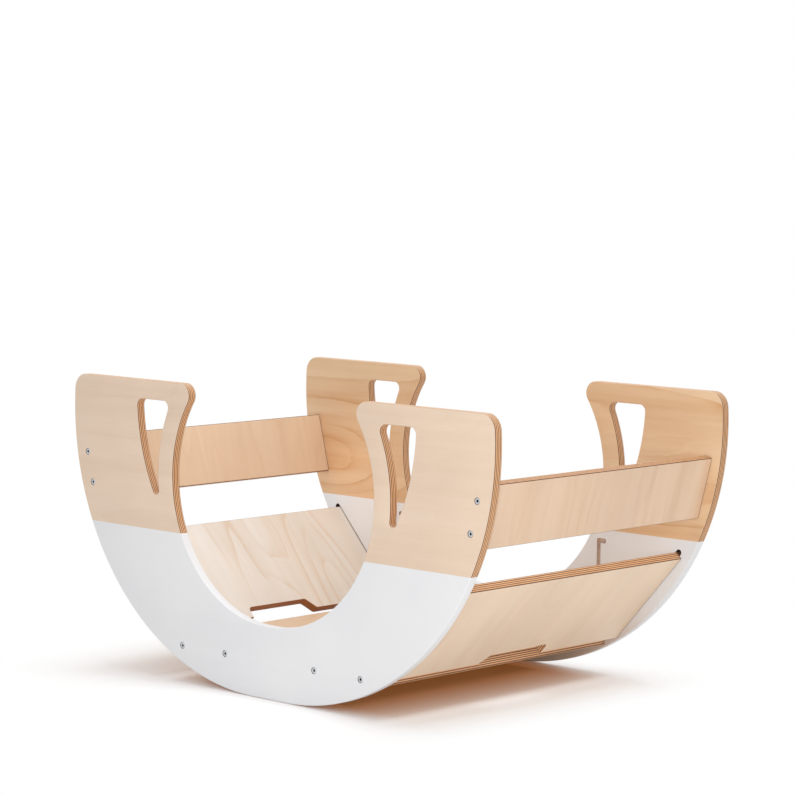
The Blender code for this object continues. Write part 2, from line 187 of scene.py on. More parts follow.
def bayonet_outline():
    """A run straight up and a short step outwards, on the right side."""
    top = PAINT_LINE - SLOT_BELOW_PAINT - SLOT_RADIUS
    bend = at_height(OPENING_CENTRE, OPENING_RADIUS + SLOT_FROM_OPENING + SLOT_RADIUS, top)
    foot_height = FLAT_HEIGHT + FLAT_THICKNESS / 2 + SLOT_ABOVE_BOARD + SLOT_RADIUS
    points = arc(Vector((bend.x, foot_height)), SLOT_RADIUS, -2 * QUARTER, 0)
    points += [bend + Vector((SLOT_RADIUS, -SLOT_RADIUS))]
    points += arc(bend + Vector((SLOT_STEP, 0)), SLOT_RADIUS, -QUARTER, QUARTER)
    return points + arc(bend, SLOT_RADIUS, QUARTER, 2 * QUARTER)


def in_scene(name, data):
    """A new object for a mesh, curve, lamp or camera, linked to the scene."""
    made = bpy.data.objects.new(name, data)
    bpy.context.scene.collection.objects.link(made)
    return made


def plain_mesh(holder):
    """An object's shape after its modifiers, as a mesh of its own."""
    evaluated = holder.evaluated_get(bpy.context.evaluated_depsgraph_get())
    return bpy.data.meshes.new_from_object(evaluated)


def weld(mesh):
    """Joins loose caps to their sides and turns every face outwards."""
    work = bmesh.new()
    work.from_mesh(mesh)
    bmesh.ops.remove_doubles(work, verts=work.verts, dist=0.00001)
    bmesh.ops.recalc_face_normals(work, faces=work.faces)
    work.to_mesh(mesh)
    work.free()


def sheet_cut_to(name, loops, thickness, rounding, place):
    """A flat sheet routed to closed loops, the first outside and the rest holes."""
    pattern = bpy.data.curves.new(name, "CURVE")
    pattern.dimensions = "2D"
    pattern.fill_mode = "BOTH"
    pattern.extrude = thickness / 2 - rounding
    pattern.bevel_depth = rounding
    pattern.bevel_resolution = 3
    pattern.offset = -rounding
    for loop in loops:
        spline = pattern.splines.new("POLY")
        spline.points.add(len(loop) - 1)
        for point, spot in zip(spline.points, loop):
            point.co = (spot.x, spot.y, 0, 1)
        spline.use_cyclic_u = True
    guide = in_scene(name, pattern)
    mesh = plain_mesh(guide)
    bpy.data.objects.remove(guide)
    bpy.data.curves.remove(pattern)
    mesh.name = name
    weld(mesh)
    mesh.transform(place)
    return mesh


def turned_wall(work, profile, count):
    """Rings round the Z axis through a profile of radius and height, joined into a wall."""
    turn = [2 * math.pi * index / count for index in range(count)]
    rings = []
    for radius, height in profile:
        points = [(radius * math.cos(angle), radius * math.sin(angle), height) for angle in turn]
        rings.append([work.verts.new(point) for point in points])
    for above, under in zip(rings, rings[1:]):
        for index in range(count):
            after = (index + 1) % count
            work.faces.new((above[index], under[index], under[after], above[after]))
    return rings


def screw_hole_mesh(place):
    """The countersunk hole for one connector screw, its head end at the top."""
    work = bmesh.new()
    rings = turned_wall(work, SCREW_HOLE_PROFILE, SCREW_HOLE_SIDES)
    work.faces.new(rings[0])
    work.faces.new(list(reversed(rings[-1])))
    bmesh.ops.recalc_face_normals(work, faces=work.faces)
    mesh = bpy.data.meshes.new("screw_hole")
    work.to_mesh(mesh)
    work.free()
    mesh.transform(place)
    return mesh


def screw_places(side):
    """Where the eight screws of the near (-1) or far (1) panel sit, their heads facing outwards."""
    upward = Vector((math.sin(RAIL_LEAN), math.cos(RAIL_LEAN))) * RAIL_SCREWS
    spots = []
    for hand in (-1, 1):
        for step in (-1, 1):
            on_rail = RAIL_CENTRE + step * upward
            spots.append((hand * on_rail.x, on_rail.y))
    spots += [(step * FLAT_SCREWS, FLAT_HEIGHT) for step in (-2, -1, 1, 2)]
    face = side * (CLEAR_WIDTH / 2 + PLY - HEAD_SUNK)
    turn = Matrix.Rotation(-side * QUARTER, 4, "X")
    return [Matrix.Translation((x, face, z)) @ turn for x, z in spots]


def routed(mesh, tool_meshes, bare=None):
    """Cuts pockets and holes; what a tool leaves shows the bare material, or the tool's own."""
    board = in_scene(mesh.name, mesh)
    tools = []
    for tool_mesh in tool_meshes:
        if bare:
            tool_mesh.materials.clear()
            tool_mesh.materials.append(bare)
        tools.append(in_scene("tool", tool_mesh))
        cutting = board.modifiers.new("cut", "BOOLEAN")
        cutting.operation = "DIFFERENCE"
        cutting.solver = "EXACT"
        cutting.material_mode = "TRANSFER"
        cutting.object = tools[-1]
    cut_mesh = plain_mesh(board)
    for extra in [board, *tools]:
        bpy.data.objects.remove(extra)
    cut_mesh.name = mesh.name
    return cut_mesh


def finished(name, mesh, body, replaced):
    """Puts a finished mesh in the scene as the piece that stands for its CAD node."""
    weld(mesh)
    mesh.shade_smooth()
    mesh.set_sharp_from_angle(angle=SHARP_EDGE)
    piece = in_scene(name, mesh)
    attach(piece, body)
    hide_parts(*replaced)


class Wiring:
    """Adds nodes to one tree. An input goes by its label, or by its number as i0, i1 and so on."""

    def __init__(self, tree):
        self.tree = tree

    def feed(self, value, socket):
        """Links another node's output to a socket, or sets the socket's own value."""
        if isinstance(value, bpy.types.NodeSocket):
            self.tree.links.new(value, socket)
        else:
            socket.default_value = value

    def node(self, kind, settings=(), **inputs):
        made = self.tree.nodes.new(kind)
        for key, value in dict(settings).items():
            setattr(made, key, value)
        for key, value in inputs.items():
            numbered = key[0] == "i" and key[1:].isdigit()
            self.feed(value, made.inputs[int(key[1:]) if numbered else key.replace("_", " ")])
        return made

    def math(self, operation, first, second=0.0, third=0.0, clamp=False):
        settings = {"operation": operation, "use_clamp": clamp}
        return self.node("ShaderNodeMath", settings, i0=first, i1=second, i2=third).outputs[0]

    def plus(self, first, second, clamp=False):
        return self.math("ADD", first, second, clamp=clamp)

    def minus(self, first, second):
        return self.math("SUBTRACT", first, second)

    def times(self, first, second):
        return self.math("MULTIPLY", first, second)

    def times_plus(self, value, factor, added):
        return self.math("MULTIPLY_ADD", value, factor, added)

    def vector_math(self, operation, first, second=(0, 0, 0)):
        made = self.node("ShaderNodeVectorMath", {"operation": operation}, i0=first, i1=second)
        return made.outputs["Vector" if operation == "SUBTRACT" else "Value"]

    def ease(self, value, low, high, out_low=0.0, out_high=1.0):
        """Goes smoothly from out_low to out_high while the value goes from low to high."""
        smooth = {"interpolation_type": "SMOOTHSTEP"}
        inputs = {"i0": value, "i1": low, "i2": high, "i3": out_low, "i4": out_high}
        return self.node("ShaderNodeMapRange", smooth, **inputs).outputs[0]

    def blend(self, factor, first, second):
        """A number between two others."""
        return self.node("ShaderNodeMix", i0=factor, i2=first, i3=second).outputs[0]

    def mix(self, factor, first, second, how="MIX"):
        """A colour between two others."""
        settings = {"data_type": "RGBA", "blend_type": how}
        return self.node("ShaderNodeMix", settings, i0=factor, i6=first, i7=second).outputs[2]

    def shaded(self, colour, level):
        """A colour made lighter or darker by a level near 1."""
        grey = self.node("ShaderNodeCombineColor", i0=level, i1=level, i2=level).outputs[0]
        return self.mix(1.0, colour, grey, "MULTIPLY")

    def place(self):
        """Where a point of the surface is, in metres."""
        return self.node("ShaderNodeTexCoord").outputs["Object"]

    def along(self, axis, vector):
        return self.node("ShaderNodeSeparateXYZ", i0=vector).outputs[axis]

    def stretched(self, vector, scale, shift=(0, 0, 0)):
        return self.node("ShaderNodeMapping", Vector=vector, Scale=scale, Location=shift).outputs[0]

    def noise(self, vector, stretch, shift=(0, 0, 0), scale=1.0, detail=2.0, roughness=0.5):
        """Soft noise from 0 to 1; stretch is about how many waves a metre holds along each axis."""
        spot = self.stretched(vector, stretch, shift)
        inputs = {"Vector": spot, "Scale": scale, "Detail": detail, "Roughness": roughness}
        return self.node("ShaderNodeTexNoise", **inputs).outputs[0]

    def drawn(self, number):
        """A number from 0 to 1 drawn for each whole number, always the same one."""
        spot = self.node("ShaderNodeCombineXYZ", i0=number).outputs[0]
        settings = {"noise_dimensions": "3D"}
        return self.node("ShaderNodeTexWhiteNoise", settings, Vector=spot).outputs[0]


def node_group(kind, name, inputs, outputs):
    """An empty node group with these sockets: its tree, its wiring, and its inner sockets."""
    tree = bpy.data.node_groups.new(name, kind)
    for label, value_kind, *value in inputs:
        socket_type = f"NodeSocket{value_kind}"
        socket = tree.interface.new_socket(label, in_out="INPUT", socket_type=socket_type)
        if value:
            socket.default_value = value[0]
    for label, value_kind in outputs:
        socket_type = f"NodeSocket{value_kind}"
        tree.interface.new_socket(label, in_out="OUTPUT", socket_type=socket_type)
    given, made = tree.nodes.new("NodeGroupInput"), tree.nodes.new("NodeGroupOutput")
    return tree, Wiring(tree), given.outputs, made.inputs


# Rotary-cut birch veneer: soft bands and fine pores along X, and yearly rings that wander across
# Y, each with a soft side, a sharp side and its own tone. Place is in metres on the sheet, and
# Figure is where on it a nest of rings lies.
VENEER, wire, given, made = node_group(
    "ShaderNodeTree",
    "birch veneer",
    [
        ("Place", "Vector"),
        ("Pale", "Color"),
        ("Warm", "Color"),
        ("Bands", "Float"),
        ("Rings", "Float"),
        ("Ring Size", "Float", 1.0),
        ("Ring Count", "Float", 8.0),
        ("Figure", "Vector", (9.0, 9.0, 0.0)),
        ("Figure Rings", "Float", 0.0),
        ("Pores", "Float"),
    ],
    [("Color", "Color"), ("Roughness", "Float"), ("Height", "Float")],
)
place = given["Place"]
drift = wire.noise(place, (1.6, 9, 9), scale=given["Ring Size"], detail=1.5, roughness=0.45)
waver = wire.noise(place, (14, 60, 60))
from_figure = wire.vector_math("SUBTRACT", place, given["Figure"])
from_figure = wire.vector_math("LENGTH", wire.stretched(from_figure, (3.6, 12, 0)))
figure = wire.times(wire.ease(from_figure, 0.0, 1.0, 1.0, 0.0), given["Figure Rings"])
# A whole number along this path is the line where one ring ends and the next begins.
path = wire.times_plus(drift, given["Ring Count"], wire.times_plus(waver, 0.3, figure))
ring = wire.math("FRACT", path)
ring_tone = wire.drawn(wire.math("FLOOR", path))
ring_line = wire.times(wire.math("POWER", ring, 5.0), wire.ease(ring, 0.92, 1.0, 1.0, 0.0))
ring_level = wire.ease(wire.noise(place, (2.5, 16, 16), (3, 1, 0), detail=1.0), 0.34, 0.62)
ring_mark = wire.times_plus(ring_tone, 0.35, wire.times(ring_line, ring_level))
ring_mark = wire.times(ring_mark, given["Rings"])
band = wire.noise(place, (1.1, 26, 26), (7, 0, 0), detail=3.0, roughness=0.6)
band_mark = wire.times(wire.ease(band, 0.36, 0.68), given["Bands"])
pore = wire.ease(wire.noise(place, (90, 2300, 2300), detail=1.0), 0.60, 0.78)
fibre = wire.ease(wire.noise(place, (30, 900, 900), (0, 5, 0)), 0.35, 0.75, 0.0, 0.45)
fibre_mark = wire.times(wire.times_plus(pore, 0.55, fibre), given["Pores"])
warmth = wire.plus(wire.plus(ring_mark, band_mark), wire.times(fibre_mark, 0.5), clamp=True)
cloud = wire.ease(wire.noise(place, (5, 9, 9), (0, 0, 4)), 0.3, 0.7, 0.97, 1.03)
wire.feed(wire.shaded(wire.mix(warmth, given["Pale"], given["Warm"]), cloud), made["Color"])
wire.feed(wire.times_plus(fibre_mark, 0.10, 0.40), made["Roughness"])
wire.feed(wire.times(fibre_mark, -1.0), made["Height"])


# Cut edge of birch plywood: plies whose grain turns by a quarter each time. A ply cut across its
# grain is dark and rough, one cut along it is pale, and a thin glue line parts them. Across is 1
# where the edge cuts the face veneer's grain, and 0 where it runs along it.
GLUE_BROWN = (0.10, 0.045, 0.022, 1)
CUTTER_BROWN = (0.10, 0.034, 0.014, 1)
PAINTED_TOPLIGHT_BIRCH = (0.84, 0.62, 0.44, 1)
PLIES, wire, given, made = node_group(
    "ShaderNodeTree",
    "plywood edge",
    [
        ("Place", "Vector"),
        ("Across", "Float"),
        ("Pale Ply", "Color"),
        ("Dark Ply", "Color"),
        ("Thickness", "Float", PLY),
        ("Plies", "Float", 9.0),
        ("Planed", "Float", 0.0),
    ],
    [("Color", "Color"), ("Cut Edge", "Float"), ("Roughness", "Float"), ("Height", "Float")],
)
place, across, thickness = given["Place"], given["Across"], given["Thickness"]
half_thickness = wire.math("DIVIDE", thickness, 2.0)
depth = wire.math("DIVIDE", wire.plus(wire.along("Z", place), half_thickness), thickness)
# The plies wander by up to half a hundredth of the sheet's thickness.
sway = wire.times_plus(wire.noise(place, (26, 26, 0)), 0.010, -0.005)
count = wire.times(wire.plus(depth, sway), given["Plies"])
number = wire.math("FLOOR", count)
within = wire.math("FRACT", count)
odd = wire.times(wire.math("FRACT", wire.math("DIVIDE", number, 2.0)), 2.0)
turned = wire.minus(1.0, across)
# Every other ply shows its end grain, and which ones do depends on the way the edge runs.
end_grain = wire.plus(wire.times(wire.minus(1.0, odd), across), wire.times(odd, turned))
end_grain = wire.ease(end_grain, 0.25, 0.75)
speck = wire.noise(place, (700, 700, 1500))
streak = wire.noise(place, (60, 60, 900))
dark_share = wire.times_plus(end_grain, 0.85, wire.times(wire.drawn(number), 0.15))
dark_share = wire.plus(dark_share, wire.times(wire.minus(speck, 0.5), 0.35))
dark_share = wire.plus(dark_share, wire.times(wire.minus(streak, 0.5), 0.35), clamp=True)
tone = wire.mix(dark_share, given["Pale Ply"], given["Dark Ply"])
glue = wire.math("MAXIMUM", wire.ease(within, 0.90, 1.0), wire.ease(within, 0.0, 0.10, 1.0, 0.0))
tone = wire.mix(wire.times(glue, 0.5), tone, GLUE_BROWN)
# The cutter leaves a dark line where the edge meets the face.
into = wire.math("MINIMUM", depth, wire.minus(1.0, depth))
tone = wire.mix(wire.ease(into, 0.04, 0.12, 0.6, 0.0), tone, CUTTER_BROWN)
# The edges that run along the face grain are made paler: painted light from overhead on the leg
# tops.
tone = wire.mix(wire.times(turned, given["Planed"]), tone, PAINTED_TOPLIGHT_BIRCH)
wire.feed(tone, made["Color"])
wire.feed(wire.ease(into, 0.006, 0.03), made["Cut Edge"])
wire.feed(wire.times_plus(end_grain, 0.15, 0.45), made["Roughness"])
wire.feed(wire.plus(wire.times(glue, -0.6), wire.times(speck, end_grain)), made["Height"])


def principled(name, **values):
    """A new material with its shader's plain values set, its shader, and its wiring."""
    material = bpy.data.materials.new(name)
    material.use_nodes = True
    shader = material.node_tree.nodes["Principled BSDF"]
    for key, value in values.items():
        shader.inputs[key.replace("_", " ")].default_value = value
    return material, shader, Wiring(material.node_tree)


GAP_SHADE_BROWN = (0.09, 0.035, 0.018, 1)
GAP_SHADE_START = 0.0015
GAP_SHADE_FULL = 0.0006
GRAIN_BUMP = 0.00012


def birch_plywood(name, lie, veneer, plies, seed, joint=None):
    """Lacquered birch plywood: veneer on both faces and plies on every cut edge.

    lie puts the sheet in its place, with X along the face grain, Z through the sheet and its
    middle at zero. joint is how far along Y the sheet meets the panels.
    """
    material, shader, wire = principled(name, IOR=1.45)
    where = wire.place()
    turn, centre = tuple(lie.to_euler()), tuple(lie.translation)
    flat = {"Vector": where, "Location": centre, "Rotation": turn}
    sheet = wire.node("ShaderNodeMapping", {"vector_type": "TEXTURE"}, **flat).outputs[0]
    normal = wire.node("ShaderNodeTexCoord").outputs["Normal"]
    grain = tuple(lie.to_3x3() @ Vector((1, 0, 0)))
    across = wire.math("ABSOLUTE", wire.vector_math("DOT_PRODUCT", normal, grain))
    cut_from = wire.stretched(sheet, (1, 1, 1), seed)
    face = wire.node("ShaderNodeGroup", {"node_tree": VENEER}, Place=cut_from, **veneer).outputs
    edge = wire.node("ShaderNodeGroup", {"node_tree": PLIES}, Place=sheet, Across=across, **plies)
    edge = edge.outputs
    cut_edge = edge["Cut Edge"]
    colour = wire.mix(cut_edge, face["Color"], edge["Color"])
    if joint:
        # Painted shade of the joint's narrow gap darkens the last millimetre beside the panels.
        to_panel = wire.math("ABSOLUTE", wire.along("Y", where))
        gap_shade = wire.ease(to_panel, joint - GAP_SHADE_START, joint - GAP_SHADE_FULL, 0.0, 0.7)
        colour = wire.mix(gap_shade, colour, GAP_SHADE_BROWN)
    rough = wire.blend(cut_edge, face["Roughness"], edge["Roughness"])
    height = wire.blend(cut_edge, face["Height"], edge["Height"])
    relief = wire.node("ShaderNodeBump", Strength=0.35, Distance=GRAIN_BUMP, Height=height)
    relief = relief.outputs[0]
    wire.feed(colour, shader.inputs["Base Color"])
    wire.feed(rough, shader.inputs["Roughness"])
    wire.feed(relief, shader.inputs["Normal"])
    return SimpleNamespace(
        material=material,
        shader=shader,
        wire=wire,
        where=where,
        cut_edge=cut_edge,
        colour=colour,
        rough=rough,
        relief=relief,
    )


PAINT_WHITES = ((0.785, 0.785, 0.80, 1), (0.81, 0.81, 0.82, 1))
PAINTED_BOUNCE_BROWN = (0.58, 0.37, 0.22, 1)
PAINTED_BOUNCE_HEIGHTS = (0.01, 0.14)
PAINTED_LIGHT_SPOT = (-0.33, 0, 0.25)
PAINTED_LIGHT_RADII = (0.03, 0.17)


def half_painted(name, lie, veneer, plies, seed, painted_bounce, light):
    """Birch plywood with white satin paint on faces and edges below the paint line.

    The last two arguments say how strongly the inner face is tinted brown near the floor, a painted
    warm reflection of light off the wood, and how much lighter it is round one spot, a painted pool
    of light.
    """
    birch = birch_plywood(name, lie, veneer, plies, seed)
    wire, where, shader = birch.wire, birch.where, birch.shader
    height = wire.along("Z", where)
    # The masked line is ragged by a fraction of a millimetre.
    ragged = wire.times_plus(wire.noise(where, (900, 900, 900)), 0.0003, height)
    bare = wire.ease(ragged, PAINT_LINE - 0.0001, PAINT_LINE + 0.0004)
    paint = wire.mix(wire.ease(wire.noise(where, (7, 7, 7)), 0.3, 0.7), *PAINT_WHITES)
    inner_face = CLEAR_WIDTH / 2
    from_middle = wire.math("ABSOLUTE", wire.along("Y", where))
    inner = wire.ease(from_middle, inner_face + 0.003, inner_face + 0.010, 1.0, 0.0)
    # Painted warm reflection: near the floor the inner face's paint turns brown, standing in for
    # light off the wood.
    painted_bounce_share = wire.times(wire.ease(height, *PAINTED_BOUNCE_HEIGHTS, painted_bounce, 0.0), inner)
    paint = wire.mix(painted_bounce_share, paint, PAINTED_BOUNCE_BROWN)
    # A painted pool of light makes the inner face lighter round one spot on its left leg.
    to_painted_light = wire.vector_math("DISTANCE", wire.stretched(where, (1, 0, 1)), PAINTED_LIGHT_SPOT)
    lighter = wire.times_plus(wire.ease(to_painted_light, *PAINTED_LIGHT_RADII, light, 0.0), inner, 1.0)
    colour = wire.shaded(wire.mix(bare, paint, birch.colour), lighter)
    wire.feed(colour, shader.inputs["Base Color"])
    # Sprayed paint dries with a faint orange peel, over both its gloss and its relief.
    peel = wire.noise(where, (420, 420, 420), detail=1.0)
    satin = wire.times_plus(peel, 0.08, 0.34)
    wire.feed(wire.blend(bare, satin, birch.rough), shader.inputs["Roughness"])
    film = wire.node("ShaderNodeBump", Strength=0.10, Distance=0.0001, Height=peel).outputs[0]
    relief = wire.node("ShaderNodeMix", {"data_type": "VECTOR"}, i0=bare, i4=film, i5=birch.relief)
    wire.feed(relief.outputs[1], shader.inputs["Normal"])
    return birch.material


def pocket_inside(name, dark, pale):
    """The torn fibres on the floor and sides of a routed pocket."""
    material, shader, wire = principled(name, IOR=1.45, Roughness=0.6)
    fibres = wire.ease(wire.noise(wire.place(), (60, 60, 700)), 0.3, 0.7)
    wire.feed(wire.mix(fibres, dark, pale), shader.inputs["Base Color"])
    return material


near_veneer = dict(
    Pale=(0.80, 0.63, 0.49, 1),
    Warm=(0.66, 0.465, 0.315, 1),
    Bands=0.22,
    Rings=0.16,
    Ring_Count=9.0,
    Pores=0.5,
)
far_veneer = dict(
    Pale=(0.80, 0.57, 0.36, 1),
    Warm=(0.61, 0.315, 0.13, 1),
    Bands=0.30,
    Rings=0.8,
    Ring_Count=8.0,
    Figure=(1.93, 0.31, 1.0),
    Figure_Rings=4.0,
    Pores=0.4,
)
panel_plies = dict(Pale_Ply=(0.93, 0.53, 0.27, 1), Dark_Ply=(0.13, 0.04, 0.012, 1), Planed=0.5)
# Painted shade: the plies in the grooves and screw holes are near black, and the paint in the slots
# is darkened to a pinkish brown with warm light painted in.
bare_and_shaded_plies = pocket_inside("routed_birch", (0.035, 0.018, 0.010, 1), (0.09, 0.045, 0.025, 1))
slot_paint_and_shade = pocket_inside("painted_slot", (0.60, 0.47, 0.40, 1), (0.72, 0.60, 0.53, 1))
pockets = (
    (groove_outline(), GROOVE_DEPTH, bare_and_shaded_plies),
    (bayonet_outline(), SLOT_DEPTH, slot_paint_and_shade),
)
hole = hand_hole_outline()

# The far panel's inner face has a painted warm reflection near the floor and a painted pool of
# light.
for name, side, veneer, seed, painted_bounce, light in (
    ("side_panel_near", -1, near_veneer, (0.0, 0.4, 0.0), 0.0, 0.0),
    ("side_panel_far", 1, far_veneer, (2.3, 0.0, 1.0), 0.75, 0.26),
):
    stand = Matrix.Translation((0, side * (CLEAR_WIDTH + PLY) / 2, 0)) @ STANDING
    finish_name = name.replace("side_panel", "half_painted_birch")
    finish = half_painted(finish_name, stand, veneer, panel_plies, seed, painted_bounce, light)
    sheet = sheet_cut_to(name, [panel_outline(), hole, mirrored(hole)], PLY, EDGE_ROUND, stand)
    sheet.materials.append(finish)
    tools = []
    for outline, depth, inside in pockets:
        middle = CLEAR_WIDTH / 2 + depth / 2 - CUTTER_PROUD / 2
        pocket = Matrix.Translation((0, side * middle, 0)) @ STANDING
        for shape in (outline, mirrored(outline)):
            tools.append(sheet_cut_to("pocket", [shape], depth + CUTTER_PROUD, 0, pocket))
            tools[-1].materials.append(inside)
    for screw_place in screw_places(side):
        tools.append(screw_hole_mesh(screw_place))
        tools[-1].materials.append(bare_and_shaded_plies)
    finished(f"{name}_sheet", routed(sheet, tools), "frame", [name])


# Rails and flat board. Straight strips of the same plywood, their long edges eased with a router
# and their ends sawn square. They butt against the panels and the connector screws pull them tight.

EASING = 0.002
BOARD_LENGTH = CLEAR_WIDTH - 2 * FIT
RAIL_WIDTH = 0.100
RIM_INSIDE = RIM_RADIUS - RIM_GAP
FLAT_LOW_CORNER = RIM_RADIUS - FLAT_HEIGHT + FLAT_THICKNESS / 2
FLAT_HALF = RIM_OFFSET + math.sqrt(RIM_INSIDE**2 - FLAT_LOW_CORNER**2)

board_tree, wire, given, made = node_group(
    "GeometryNodeTree",
    "eased board",
    [
        ("Geometry", "Geometry"),
        ("Length", "Float"),
        ("Width", "Float"),
        ("Thickness", "Float"),
        ("Easing", "Float"),
        ("Material", "Material"),
    ],
    [("Geometry", "Geometry")],
)
half_length = wire.math("DIVIDE", given["Length"], 2.0)
start = wire.node("ShaderNodeCombineXYZ", i1=wire.times(half_length, -1.0)).outputs[0]
end = wire.node("ShaderNodeCombineXYZ", i1=half_length).outputs[0]
run = wire.node("GeometryNodeCurvePrimitiveLine", Start=start, End=end).outputs[0]
section = wire.node(
    "GeometryNodeCurvePrimitiveQuadrilateral", Width=given["Width"], Height=given["Thickness"]
).outputs[0]
eased = wire.node(
    "GeometryNodeFilletCurve", {"mode": "POLY"}, Curve=section, Radius=given["Easing"], Count=5
).outputs[0]
swept = wire.node("GeometryNodeCurveToMesh", Curve=run, Profile_Curve=eased, Fill_Caps=True)
real = wire.node("GeometryNodeRealizeInstances", Geometry=swept.outputs[0]).outputs[0]
dressed = wire.node("GeometryNodeSetMaterial", Geometry=real, Material=given["Material"])
wire.feed(dressed.outputs[0], made["Geometry"])


def made_by(tree, base, inputs):
    """What a Geometry Nodes tree makes of a base mesh with these inputs, as a plain mesh."""
    holder = in_scene(base.name, base)
    shaping = holder.modifiers.new("shaping", "NODES")
    shaping.node_group = tree
    for item in tree.interface.items_tree:
        if item.in_out == "INPUT" and item.name in inputs:
            shaping[item.identifier] = inputs[item.name]
    mesh = plain_mesh(holder)
    bpy.data.objects.remove(holder)
    return mesh


def eased_board(width, thickness, material, place):
    """A board that runs along Y with its width along X, then put in its place."""
    sizes = {"Length": BOARD_LENGTH, "Width": width, "Thickness": thickness, "Easing": EASING}
    mesh = made_by(board_tree, bpy.data.meshes.new("board_blank"), sizes | {"Material": material})
    weld(mesh)
    mesh.transform(place)
    return mesh


def drilled(board):
    """The same board with the connector screws' holes in both ends."""
    holes = [screw_hole_mesh(spot) for side in (-1, 1) for spot in screw_places(side)]
    return routed(board, holes, bare_and_shaded_plies)


edge_plies = dict(Pale_Ply=(0.92, 0.53, 0.275, 1), Dark_Ply=(0.15, 0.045, 0.014, 1))
rail_veneer = dict(Bands=0.35, Rings=0.4, Ring_Size=1.3, Pores=0.55)
for hand, side, pale, warm, seed in (
    ("left", -1, (0.785, 0.58, 0.41, 1), (0.69, 0.445, 0.27, 1), (0.7, 0.2, 0.0)),
    ("right", 1, (0.775, 0.575, 0.415, 1), (0.66, 0.43, 0.275, 1), (1.9, 0.6, 0.0)),
):
    # The face grain runs up the rail, from edge to edge.
    upright = Matrix.Translation((side * RAIL_CENTRE.x, 0, RAIL_CENTRE.y))
    upright @= Matrix.Rotation(side * RAIL_LEAN - QUARTER, 4, "Y")
    veneer = dict(rail_veneer, Pale=pale, Warm=warm)
    name = f"rail_birch_{hand}"
    birch = birch_plywood(name, upright, veneer, edge_plies, seed, joint=BOARD_LENGTH / 2)
    board = drilled(eased_board(RAIL_WIDTH, PLY, birch.material, upright))
    finished(f"rail_{hand}_board", board, "frame", [f"rail_{hand}"])

flat_veneer = dict(
    Pale=(0.75, 0.535, 0.365, 1),
    Warm=(0.64, 0.41, 0.24, 1),
    Bands=0.3,
    Rings=0.35,
    Ring_Size=1.2,
    Pores=0.45,
)
flat_plies = dict(edge_plies, Thickness=FLAT_THICKNESS, Plies=11.0)
flat_place = Matrix.Translation((0, 0, FLAT_HEIGHT))
birch = birch_plywood(
    "flat_board_birch_face",
    flat_place @ Matrix.Rotation(QUARTER, 4, "Z"),
    flat_veneer,
    flat_plies,
    (0.4, 1.3, 0),
    joint=BOARD_LENGTH / 2,
)
board = drilled(eased_board(2 * FLAT_HALF, FLAT_THICKNESS, birch.material, flat_place))
finished("flat_board_sheet", board, "frame", ["flat_board"])


# Sloping boards. Each is a loose sheet of plywood with a notch in its lower edge, one end of the
# notch square and the other slanting. A tongue on each end lies in the panels' grooves.

TONGUE_REACH = 0.0065
NOTCH_DEPTH = 0.0195
NOTCH_SQUARE_END = 0.070
NOTCH_SLANT_END = -0.058
NOTCH_SLANT_RUN = 0.0165
NOTCH_CORNER = 0.006
SAW_PAST = 0.015
NOTCH_SHADE_BROWN = (0.36, 0.10, 0.006, 1)
NOTCH_SHADE_HEIGHTS = (0.088, 0.104)


def rounded_corner(before, corner, after, radius):
    """Points that round a corner between two straight edges."""
    back = (before - corner).normalized()
    ahead = (after - corner).normalized()
    half_angle = back.angle(ahead) / 2
    centre = corner + (back + ahead).normalized() * radius / math.sin(half_angle)
    reach = radius / math.tan(half_angle)
    start = angle_of(centre, corner + back * reach)
    turn = angle_of(centre, corner + ahead * reach) - start
    return arc(centre, radius, start, start + (turn + math.pi) % (2 * math.pi) - math.pi)


def slope_outline():
    """The board with both tongues and its notch: X up the slope from the lower edge, Y along it."""
    end = CLEAR_WIDTH / 2 + TONGUE_REACH
    corners = (
        (0, -end, 0),
        (SLOPE_LENGTH, -end, 0),
        (SLOPE_LENGTH, end, 0),
        (0, end, 0),
        (0, NOTCH_SQUARE_END, EASING),
        (NOTCH_DEPTH, NOTCH_SQUARE_END, NOTCH_CORNER),
        (NOTCH_DEPTH, NOTCH_SLANT_END, NOTCH_CORNER),
        (0, NOTCH_SLANT_END - NOTCH_SLANT_RUN, NOTCH_CORNER),
    )
    spots = [Vector((x, y)) for x, y, _ in corners]
    points = []
    for index, (_, _, radius) in enumerate(corners):
        before, spot, after = spots[index - 1], spots[index], spots[(index + 1) % len(spots)]
        points += rounded_corner(before, spot, after, radius) if radius else [spot]
    return points


def saw_path(low, high, place):
    """The box that a saw takes away, between its lowest and highest corners on the board."""
    work = bmesh.new()
    bmesh.ops.create_cube(work, size=1)
    mesh = bpy.data.meshes.new("saw")
    work.to_mesh(mesh)
    work.free()
    low, high = Vector(low), Vector(high)
    size = Matrix.Diagonal((*(high - low), 1))
    mesh.transform(place @ Matrix.Translation((low + high) / 2) @ size)
    return mesh


